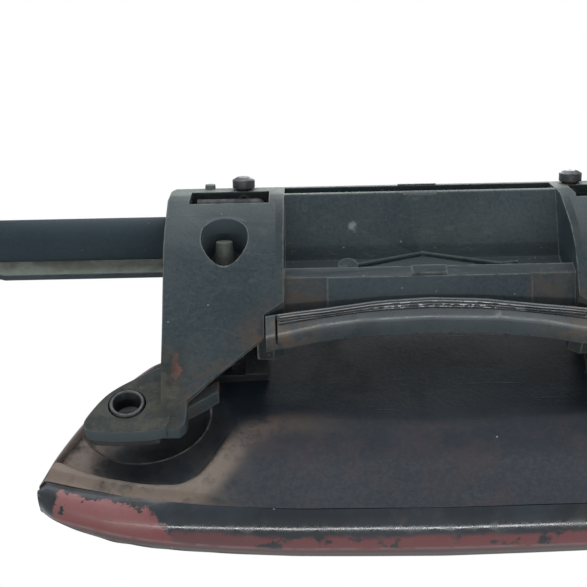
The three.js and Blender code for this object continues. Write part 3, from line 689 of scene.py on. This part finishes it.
def soil_and_light_the_ears(f, color):
    """The ears are the dirtiest: a green-brown film with darker blots on their inboard faces, and
    painted light on their other faces.
    """
    across, height = f.absolute(f.millimetres(0)), f.millimetres(2)
    ear = f.times(f.step(height, -11, -17), f.step(across, 60, 66))
    blots = f.step(f.noise(5, detail=7, rough=0.75, shift=9.4), 0.35, 0.65)
    soil_and_light = f.mix(blots, (0.018, 0.0225, 0.0225), (0.054, 0.051, 0.041))
    # Painted light: faces not turned inboard get a lighter blue-grey.
    soil_and_light = f.mix(faces_inboard(f), (0.056, 0.068, 0.074), soil_and_light)
    return f.mix(f.times(ear, 0.85), color, soil_and_light)


def scuff_the_pocket(f, color):
    """One star-shaped scuff on the pocket's wall."""
    star = f.radius(f.times(f.plus(f.millimetres(0), -18.6), 0.42),
                    f.times(f.plus(f.millimetres(2), -24.7), 0.42))
    star = f.plus(star, f.times(f.noise(1.3, detail=6, rough=0.8, shift=14.0), 1.5))
    return f.mix(f.times(f.step(star, 1.35, 0.85), 0.55), color, SCUFF)


def soil_the_blocks(f, color):
    """Earth caught along the blocks' slanted edges and at the two ends of the ledge."""
    across, height = f.absolute(f.millimetres(0)), f.millimetres(2)
    slant = f.plus(height, f.times(f.plus(across, -37.0), 0.66))
    low = f.times(f.step(slant, 3.0, -6.0), f.step(across, 36, 38), f.step(height, -32, -22))
    ends = f.times(f.band(across, 25.5, 38.5, 1.5), f.band(height, -3.5, 3.2, 1.5), 0.8)
    cloud = f.step(f.noise(6, detail=6, rough=0.68, shift=8.0), 0.38, 0.66)
    return f.mix(f.times(f.larger(low, ends), cloud, 0.75), color, EARTH)


def smear_the_post(f, color):
    """A ragged smear of body paint low on the block at the lever end."""
    off = f.radius(f.times(f.plus(f.millimetres(0), -64.6), 0.45),
                   f.times(f.plus(f.millimetres(2), 20.0), 0.20))
    torn = f.times(f.noise(3.2, detail=6, rough=0.7, shift=5.4), 2.2)
    smear = f.step(f.plus(off, torn), 1.85, 1.45)
    return f.mix(f.times(smear, 0.85), color, RED_SMEAR)


def glossy_guard(name):
    """The finger guard's smoother, newer-looking plastic with long moulding lines."""
    f = Finish(name)
    broad = f.noise(22, detail=4)
    color = f.mix(f.step(broad, 0.35, 0.65), (0.032, 0.042, 0.049), (0.056, 0.068, 0.075))
    streak = f.noise(2.2, detail=3, stretch=(0.06, 1, 1), shift=4.0)
    color = f.mix(f.times(f.step(streak, 0.5, 0.75), 0.5), color, (0.070, 0.074, 0.074))
    deep = f.step(f.crevice(4), 0.35, 0.8)
    golden = f.times(deep, f.step(f.noise(5, detail=5, shift=2.5), 0.4, 0.62), 0.85)
    # Earth has settled at the two ends of the lip.
    ends = f.step(f.absolute(f.millimetres(0)), 22, 38)
    cloud = f.step(f.noise(4, detail=6, rough=0.7, shift=6.6), 0.36, 0.62)
    golden = f.larger(golden, f.times(ends, cloud, 0.55))
    color = f.mix(golden, color, GOLDEN_EARTH)
    color = f.mix(f.times(specks(f, 4.0), 0.6), color, SPECK)
    f.bump(f.noise(0.5, detail=2), 0.02)
    f.bump(streak, 0.04)
    roughness = f.step(f.noise(3, detail=3, shift=6.0), 0.2, 0.8, 0.2, 0.4)
    return f.done(color, roughness, specular=0.5)


def blackened_steel(name, dark=(0.015, 0.018, 0.021), light=(0.045, 0.048, 0.051), rough=0.45):
    f = Finish(name)
    patchy = f.noise(3.5, detail=5, rough=0.65)
    color = f.mix(f.step(patchy, 0.35, 0.68), dark, light)
    rust = f.times(f.step(f.crevice(2.5), 0.3, 0.7), f.step(f.noise(1.6, detail=4), 0.45, 0.6))
    color = f.mix(f.times(rust, 0.5), color, RUST)
    rubbed = f.times(f.edges(), f.step(f.noise(1.2, shift=3.3), 0.4, 0.6), 0.4)
    color = f.mix(rubbed, color, (0.13, 0.13, 0.13))
    f.bump(f.noise(0.35, detail=3), 0.03)
    f.bump(f.noise(2.0, detail=2, stretch=(0.1, 1, 1)), 0.03)
    roughness = f.step(f.noise(1.4, detail=4, shift=1.2), 0.3, 0.7, rough - 0.1, rough + 0.14)
    return f.done(color, roughness, metallic=0.25, specular=0.4)


def spring_steel(name):
    f = Finish(name)
    patchy = f.noise(2.0, detail=4)
    color = f.mix(f.step(patchy, 0.3, 0.7), (0.16, 0.16, 0.16), (0.33, 0.33, 0.34))
    oily = f.step(f.noise(5, detail=4, shift=4.4), 0.5, 0.7)
    color = f.mix(f.times(oily, 0.6), color, OIL)
    f.bump(f.noise(0.3, detail=2), 0.02)
    roughness = f.step(f.noise(1.0, detail=3), 0.3, 0.7, 0.28, 0.46)
    return f.done(color, roughness, metallic=0.9)


def wet_rubber(name):
    """The gasket lips: black rubber, with broken glints along the crests of the middle."""
    f = Finish(name)
    cloudy = f.step(f.noise(5, detail=5), 0.3, 0.7)
    color = f.mix(cloudy, (0.010, 0.013, 0.016), (0.028, 0.031, 0.034))
    color = f.mix(f.times(f.step(f.crevice(2), 0.35, 0.8), 0.7), color, (0.06, 0.048, 0.038))
    middle = f.step(f.absolute(f.plus(f.millimetres(0), 4.0)), 24, 10)
    dashes = f.noise(1.2, detail=4, rough=0.7, stretch=(0.6, 1, 1), shift=7.0)
    dashes = f.times(f.step(dashes, 0.50, 0.56), middle)
    crest = f.band(f.axis(f.facing, 2), -0.80, -0.20, 0.06)
    color = f.mix(f.times(crest, dashes, 0.85), color, GLINT)
    f.bump(f.noise(0.8, detail=4, rough=0.7), 0.05)
    f.bump(f.noise(3.0, detail=2, stretch=(0.3, 1, 1)), 0.08)
    roughness = f.step(f.noise(5, detail=4, shift=3.0), 0.38, 0.62, 0.06, 0.26)
    return f.done(color, roughness)


def rubber(name):
    f = Finish(name)
    chalk = f.step(f.noise(4, detail=5, rough=0.65), 0.35, 0.7)
    color = f.mix(chalk, (0.012, 0.013, 0.014), (0.030, 0.031, 0.031))
    inboard = f.step(f.axis(f.facing, 1), 0.5, 0.95)
    film = f.times(inboard, f.step(f.noise(7, shift=2.0), 0.4, 0.65), 0.25)
    color = f.mix(film, color, DUST)
    color = f.mix(f.times(f.step(f.crevice(3), 0.35, 0.8), 0.5), color, (0.04, 0.03, 0.024))
    f.bump(f.noise(0.6, detail=4, rough=0.7), 0.06)
    roughness = f.step(f.noise(2.0, detail=3), 0.3, 0.7, 0.68, 0.88)
    return f.done(color, roughness)


def nylon(name):
    f = Finish(name)
    cloudy = f.step(f.noise(4, detail=4), 0.3, 0.7)
    color = f.mix(cloudy, (0.17, 0.155, 0.125), (0.30, 0.285, 0.24))
    color = f.mix(f.times(f.step(f.crevice(3), 0.3, 0.8), 0.8), color, (0.06, 0.045, 0.032))
    f.bump(f.noise(0.5, detail=2), 0.03)
    roughness = f.step(f.noise(1.5, detail=3), 0.3, 0.7, 0.38, 0.55)
    f.shader.inputs["Subsurface Weight"].default_value = 0.15
    f.shader.inputs["Subsurface Scale"].default_value = 0.002
    return f.done(color, roughness)


def bare_red(f, x, arc):
    """Where the overspray is rubbed off the lip: a ragged band, and a torn patch by the tip."""
    ragged = f.plus(f.noise(9, detail=7, rough=0.72, stretch=(0.6, 1, 1)), -0.5)
    torn = f.plus(f.noise(6, detail=6, rough=0.7, shift=3.0), -0.5)
    edge = f.plus(arc, f.times(ragged, 5.0))
    across = f.plus(x, f.times(torn, 12.0))
    islands = f.step(f.noise(5.5, detail=5, shift=9.0), 0.56, 0.64)
    thin = f.step(x, 64, 20, 0.65, 1.0)
    band = f.times(f.band(edge, 6.6, 11.2, 0.8), f.step(across, 66, 64), thin, 0.85)
    patch = f.band(f.plus(arc, f.times(torn, 11.0)), 2.4, 14.0, 0.25)
    slanted = f.step(f.plus(across, f.times(arc, 0.9)), 71.5, 73.5)
    holes = f.step(f.noise(6, detail=6, rough=0.65, shift=6.0), 0.63, 0.66)
    patch = f.times(patch, slanted, f.step(across, 94.0, 92.6), f.inverse(holes))
    return f.larger(f.times(band, f.inverse(islands)), patch), patch


def red_paint(f, x, arc):
    """Chalky where it has been rubbed; the outer face is faded in clouds and finely scratched."""
    chalk = f.times(f.step(x, 58, 80), f.step(arc, 11.0, 3.5))
    chalk = f.larger(chalk, f.step(f.noise(22, detail=3, shift=2.0), 0.3, 0.8, 0.04, 0.16))
    fine = f.step(f.noise(1.0, detail=5, rough=0.75), 0.25, 0.75, 0.75, 1.0)
    paint = f.mix(f.times(chalk, fine), RED, RED_WORN)
    faded = f.step(f.noise(45, detail=5, rough=0.6, shift=12.0), 0.3, 0.7)
    outer = f.mix(faded, OUTER_RED, OUTER_RED_FADED)
    hair = f.noise(1.0, detail=3, stretch=(0.04, 1, 0.6), shift=15.0)
    outer = f.mix(f.times(f.step(hair, 0.66, 0.76), 0.35), outer, RED_WORN)
    outside = f.times(f.step(arc, 16.5, 21), f.step(f.axis(f.facing, 1), 0.1, -0.3))
    return f.mix(outside, paint, outer)


def painted_skin(name):
    """Red body paint outside, with black overspray turned over the lip."""
    f = Finish(name)
    x, arc = f.millimetres(0), f.field("from_seam")
    red_on, patch = bare_red(f, x, arc)
    # The overspray reaches the parting line of the moulding; past it a dark band is painted shade
    # under the nose.
    covered = f.times(f.step(arc, 10.9, 10.3), f.inverse(red_on))
    shaded_band = f.times(f.band(arc, 11.2, 17, 0.7), f.step(f.noise(9, detail=5), 0.2, 0.4, 0.8, 1.0))
    spray = f.mix(f.step(f.noise(14, detail=5), 0.35, 0.65), OVERSPRAY, OVERSPRAY_PALE)
    color = f.mix(f.times(shaded_band, 0.92), red_paint(f, x, arc), RED_IN_SHADE)
    color = f.mix(covered, color, spray)
    rim = f.times(f.step(f.field("from_crest"), 7.5, 5.5), f.step(x, 40, 60))
    caked = f.step(f.noise(5, detail=6, rough=0.7), 0.2, 0.5, 0.75, 1.0)
    color = f.mix(f.times(rim, caked), color, CAKED_RIM)
    dusty = f.times(f.step(f.noise(6, detail=5, shift=3.0), 0.5, 0.72), f.step(arc, 26, 14), 0.15)
    color = f.mix(dusty, color, BROWN)
    scuffed = f.times(f.band(arc, 10.0, 10.7, 0.3), f.step(f.noise(4, shift=8.0), 0.3, 0.6), 0.6)
    color = f.mix(scuffed, color, (0.12, 0.11, 0.11))
    color = f.mix(f.times(specks(f, 6.0), 0.5), color, SPECK)
    f.bump(f.noise(0.7, detail=3, rough=0.6), 0.014)
    f.bump(covered, 0.05)
    # Shiny, but duller along the seam and over the bare patch at the lever end.
    worn = f.step(f.noise(2.5, detail=6, rough=0.75, shift=1.0), 0.35, 0.65, 0.08, 0.22)
    dull = f.larger(f.step(arc, 5.0, 2.5), f.times(patch, 0.5))
    dull = f.times(dull, f.step(x, 62, 74), 0.5)
    roughness = f.math("ADD", f.plus(worn, dull), f.times(dusty, 0.8), clamp=True)
    f.shader.inputs["Coat Weight"].default_value = 0.12
    f.shader.inputs["Coat Roughness"].default_value = 0.12
    return f.done(color, roughness)


def lined_recess(name):
    """The flap's inner face: satin overspray, with road dust on the ridge and at the tip."""
    f = Finish(name)
    x, height = f.millimetres(0), f.millimetres(2)
    ridge, well = f.field("ridge"), f.field("well")
    broad = f.noise(30, detail=5, rough=0.6)
    small = f.noise(1.2, detail=5, rough=0.7, shift=2.0)
    tone = f.step(f.plus(f.times(broad, 0.75), f.times(small, 0.25)), 0.3, 0.7)
    color = f.mix(tone, OVERSPRAY, OVERSPRAY_PALE)
    recess = f.step(ridge, 1.0, -3.0)
    color = f.mix(f.times(recess, 0.6), color, (0.012, 0.016, 0.024))
    # A thin film of dust lies over the lever end of the recess; the hollow by the ear is kept
    # free of it, so it stays dark as painted shade.
    cloud = f.step(f.noise(9, detail=6, rough=0.65, shift=3.7), 0.25, 0.6)
    hollow = f.times(f.step(ridge, 2.5, 6.0), f.step(x, 89, 84), 0.75)
    veil = f.times(f.step(x, 42, 62), cloud, f.inverse(hollow), 0.75)
    color = f.mix(veil, color, BROWN_DUST)
    # Road dust: mauve-brown patches in the recess and a band along the ridge.
    patches = f.step(f.noise(15, detail=6, rough=0.65, shift=4.0), 0.50, 0.68)
    color = f.mix(f.times(patches, recess, 0.45), color, MAUVE)
    along = f.times(f.band(ridge, -4.5, 1.8, 2.2), f.step(x, 14, 56),
                    f.step(f.noise(8, detail=6, rough=0.7, shift=1.0), 0.30, 0.55), 0.85)
    dried = f.mix(f.step(x, 40, 60), BROWN, DRIED_EARTH)
    color = f.mix(along, color, dried)
    caked = f.step(f.noise(7, detail=6, rough=0.7, shift=6.0), 0.36, 0.58)
    color = f.mix(f.times(f.step(x, 78, 90), caked, 0.85), color, CAKED_EARTH)
    # Painted highlight: a pale broken line along the rim of each lug's well, strongest on the
    # side towards the middle.
    rim = f.times(f.band(well, 0.985, 1.015, 0.012), f.step(f.noise(5, shift=5.0), 0.3, 0.6),
                  f.step(x, 78, 68, 0.25, 1.0))
    color = f.mix(f.times(rim, 0.8), color, (0.20, 0.20, 0.20))
    # One flake down to the red beside the post.
    scraped = f.times(f.band(x, 55, 61, 1.0), f.band(height, -12, -4, 1.5))
    flake = f.times(scraped, f.step(f.noise(5, detail=5, shift=7.0), 0.46, 0.5))
    color = f.mix(flake, color, RED)
    color = f.mix(f.times(specks(f, 7.0, 0.06), 0.8), color, SPECK)
    scratch = f.noise(1.4, detail=2, stretch=(0.05, 1, 1), shift=3.0)
    f.bump(f.noise(0.5, detail=2), 0.02)
    f.bump(small, 0.07)
    f.bump(f.step(scratch, 0.66, 0.74), 0.02)
    roughness = f.plus(f.step(small, 0.3, 0.7, 0.44, 0.58), f.times(patches, 0.12))
    return f.done(color, roughness, specular=0.18)


def paper_floor(name):
    f = Finish(name)
    color = f.mix(f.noise(180, detail=3), (0.88, 0.86, 0.84), (0.92, 0.90, 0.88))
    f.bump(f.noise(1.5, detail=3), 0.05)
    return f.done(color, f.step(f.noise(60, detail=2), 0.3, 0.7, 0.75, 0.9))


# ---------------------------------------------------------------- pieces


def cover(obj, material):
    obj.data.materials.clear()
    obj.data.materials.append(material)


def dress_cad():
    """Each CAD node: its finish and the width of its moulded edges, in mm."""
    carrier = moulded("carrier_plastic", (0.0185, 0.0285, 0.0345), (0.0400, 0.0530, 0.0610),
                      rough=0.62, specular=0.13, dust=0.26, edge_wear_and_highlight=0.85,
                      worn=(0.135, 0.15, 0.135), carrier=True)
    peg = moulded("peg_plastic", (0.030, 0.038, 0.034), (0.060, 0.068, 0.058), dust=0.7)
    lever = moulded("lever_plastic", (0.012, 0.021, 0.028), (0.022, 0.034, 0.042), rough=0.75,
                    dust=0.03, dirt=0.3, specular=0.15)
    guard = glossy_guard("guard_plastic")
    dark_steel = blackened_steel("blackened_steel")
    sooty_steel = blackened_steel("sooty_steel", (0.007, 0.009, 0.011), (0.016, 0.019, 0.022),
                                  rough=0.62)
    bright = spring_steel("spring_steel")
    black_rubber = rubber("rubber_black")
    natural = nylon("nylon_natural")
    black_nylon = moulded("nylon_black", (0.006, 0.008, 0.010), (0.014, 0.017, 0.019), rough=0.5,
                          dust=0.05, dirt=0.2)
    finishes = {
        "carrier_frame": (carrier, 0.7),
        "finger_guard": (guard, 0.6),
        "guard_gasket": (wet_rubber("rubber_lips"), 0.15),
        "rim_stud": (dark_steel, 0.35),
        "stop_peg": (peg, 0.35),
        "hinge_pin": (bright, 0.3),
        "return_spring": (bright, 0.0),
        "shaft_bearing": (natural, 0.3),
        "lug_insert": (dark_steel, 0.3),
        "lug_gasket": (black_rubber, 0.3),
        "stop_pad": (black_rubber, 0.4),
        "pin_clip": (bright, 0.1),
        "hinge_arm": (black_nylon, 0.4),
        "hinge_bush": (natural, 0.2),
        "arm_screw": (dark_steel, 0.2),
        "transfer_shaft": (dark_steel, 0.3),
        "lever_sleeve": (lever, 0.5),
        "paddle": (black_nylon, 0.35),
        "counterweight": (sooty_steel, 0.3),
        "end_crank": (dark_steel, 0.35),
        "rod_clip": (natural, 0.3),
    }
    for obj in list(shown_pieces()):
        node = obj.get("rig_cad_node")
        for stem, (material, width) in finishes.items():
            if node and node.startswith(stem):
                cover(obj, material)
                if width:
                    soften(obj, width)
                else:
                    shade(obj)


def make_floor():
    """A sheet far below the handle, in metres, too wide for its edge to be seen."""
    side = 60.0
    low = CAD_BOX[0][2] - 0.8
    mesh = bpy.data.meshes.new("floor")
    corners = [(-side, -side, low), (side, -side, low), (side, side, low), (-side, side, low)]
    mesh.from_pydata(corners, [], [(0, 1, 2, 3)])
    floor = show("floor", mesh)
    cover(floor, paper_floor("paper"))
    floor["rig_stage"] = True


def make_flap():
    skin = make_flap_skin()
    liner = make_flap_liner()
    for obj in (skin, liner):
        outward(obj)
        shade(obj, 35)
    cover(skin, painted_skin("flap_paint"))
    cover(liner, lined_recess("flap_recess"))
    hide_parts("flap_skin")
    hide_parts("flap_liner")


# ---------------------------------------------------------------- camera and light


def make_camera():
    """On the inboard side, looking up at the handle from 47 degrees below it."""
    data = bpy.data.cameras.new("camera")
    cam = show("camera", data)
    target = Vector((0.035, 0.0192, -0.038))
    eye = Vector((0.035, 0.2115, -0.2442))
    upwards = Vector((0, 0.731, 0.682))
    back = (eye - target).normalized()
    right = upwards.cross(back).normalized()
    up = back.cross(right).normalized()
    roll = math.radians(1.2)
    tilted_right = right * math.cos(roll) - up * math.sin(roll)
    tilted_up = up * math.cos(roll) + right * math.sin(roll)
    for row in range(3):
        for col, axis in enumerate((tilted_right, tilted_up, back)):
            cam.matrix_world[row][col] = axis[row]
        cam.matrix_world[row][3] = eye[row]
    data.lens = 67.5
    data.sensor_width = 36
    data.clip_start = 0.01
    bpy.context.scene.camera = cam


def area_light(name, at, look, width, height, watts):
    data = bpy.data.lights.new(name, "AREA")
    data.energy = watts
    data.shape = "RECTANGLE"
    data.size = width
    data.size_y = height
    lamp = show(name, data)
    lamp.location = at
    lamp.rotation_euler = (Vector(look) - Vector(at)).to_track_quat("-Z", "Y").to_euler()
    lamp.visible_camera = False


def make_light():
    """A soft room, white where the camera sees it, and three lamps."""
    world = bpy.data.worlds.new("world")
    world.use_nodes = True
    tree = world.node_tree
    seen = tree.nodes["Background"]
    seen.inputs["Color"].default_value = (1, 1, 1, 1)
    room = tree.nodes.new("ShaderNodeBackground")
    room.inputs["Color"].default_value = (0.90, 0.96, 1.0, 1)
    room.inputs["Strength"].default_value = 0.78
    path = tree.nodes.new("ShaderNodeLightPath")
    pick = tree.nodes.new("ShaderNodeMixShader")
    tree.links.new(path.outputs["Is Camera Ray"], pick.inputs[0])
    tree.links.new(room.outputs[0], pick.inputs[1])
    tree.links.new(seen.outputs[0], pick.inputs[2])
    tree.links.new(pick.outputs[0], tree.nodes["World Output"].inputs["Surface"])
    bpy.context.scene.world = world
    middle, lip = (0, 0, -0.04), (0.03, -0.02, -0.09)
    area_light("overhead", (0.0, 0.46, 0.36), middle, 0.9, 0.3, 4.2)
    area_light("top", (-0.05, 0.02, 0.6), middle, 0.6, 0.3, 3)
    # A long narrow window that draws the bright line along the lip.
    area_light("window", (0.03, 0.27, -0.74), lip, 1.1, 0.035, 2.6)
    bpy.context.scene.view_settings.view_transform = "Standard"


make_camera()
make_light()
make_floor()
make_flap()
dress_cad()
